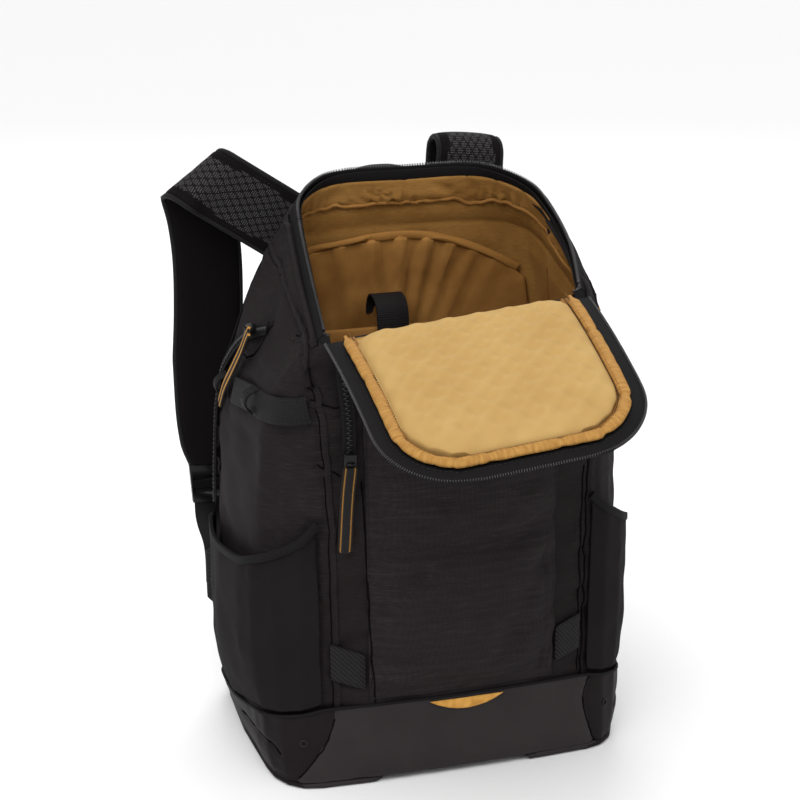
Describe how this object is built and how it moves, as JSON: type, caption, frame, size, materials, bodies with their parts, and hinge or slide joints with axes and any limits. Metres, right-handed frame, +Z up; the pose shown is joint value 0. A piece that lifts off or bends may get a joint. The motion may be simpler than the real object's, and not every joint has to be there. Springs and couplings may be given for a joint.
{
  "type": "camera backpack with its lid open",
  "caption": "Tall padded camera backpack on a coated base, its quilted lid folded open over the front, with side pockets, sleeve inside and shoulder straps.",
  "frame": {"origin": "on the floor under the middle of the whole object's bounding box", "axes": "+Z up, -Y towards the front and the open lid, +Y towards the wearer's back, +X to the right seen from the front"},
  "size_m": [0.342, 0.4334, 0.4704],
  "materials": {
    "black_cloth": "heathered black synthetic weave",
    "liner_cloth": "tan lining cloth",
    "quilt_cloth": "pale tan padded lining cloth",
    "coated_cloth": "charcoal coated cloth, low sheen",
    "black_webbing": "black woven webbing",
    "zip_teeth": "dark grey zip teeth on black tape",
    "orange_weave": "orange and black woven ribbon",
    "strap_cloth": "black padded strap cloth with mesh",
    "black_plastic": "moulded black plastic"
  },
  "bodies": {
    "root": {"bag_shell": "black_cloth", "lining": "liner_cloth", "base_boot": "coated_cloth", "foot_left": "coated_cloth", "foot_right": "coated_cloth", "accent_tab": "orange_weave", "front_pocket": "black_cloth", "front_zip": "zip_teeth", "side_pocket_left": "black_cloth", "side_zip_left": "zip_teeth", "edge_zip_left": "zip_teeth", "side_webbing_left": "black_webbing", "webbing_loop_front_left": "black_webbing", "webbing_loop_back_left": "black_webbing", "side_slider_left": "black_plastic", "side_pull_left": "orange_weave", "base_patch_left": "black_webbing", "side_pocket_right": "black_cloth", "side_zip_right": "zip_teeth", "edge_zip_right": "zip_teeth", "side_webbing_right": "black_webbing", "webbing_loop_front_right": "black_webbing", "webbing_loop_back_right": "black_webbing", "side_slider_right": "black_plastic", "side_pull_right": "orange_weave", "base_patch_right": "black_webbing", "front_slider": "black_plastic", "front_pull": "orange_weave", "rim_zip": "zip_teeth", "lid_panel": "black_cloth", "lid_lining": "quilt_cloth", "lid_binding": "liner_cloth", "lid_zip": "zip_teeth", "arched_pocket": "liner_cloth", "sleeve_panel": "liner_cloth", "pocket_binding": "liner_cloth", "closure_tab": "black_webbing", "back_panel": "strap_cloth", "shoulder_strap_left": "strap_cloth", "ladder_lock_left": "black_plastic", "strap_webbing_left": "black_webbing", "anchor_tab_left": "black_webbing", "shoulder_strap_right": "strap_cloth", "ladder_lock_right": "black_plastic", "strap_webbing_right": "black_webbing", "anchor_tab_right": "black_webbing", "grab_handle": "strap_cloth"}
  },
  "joints": []
}
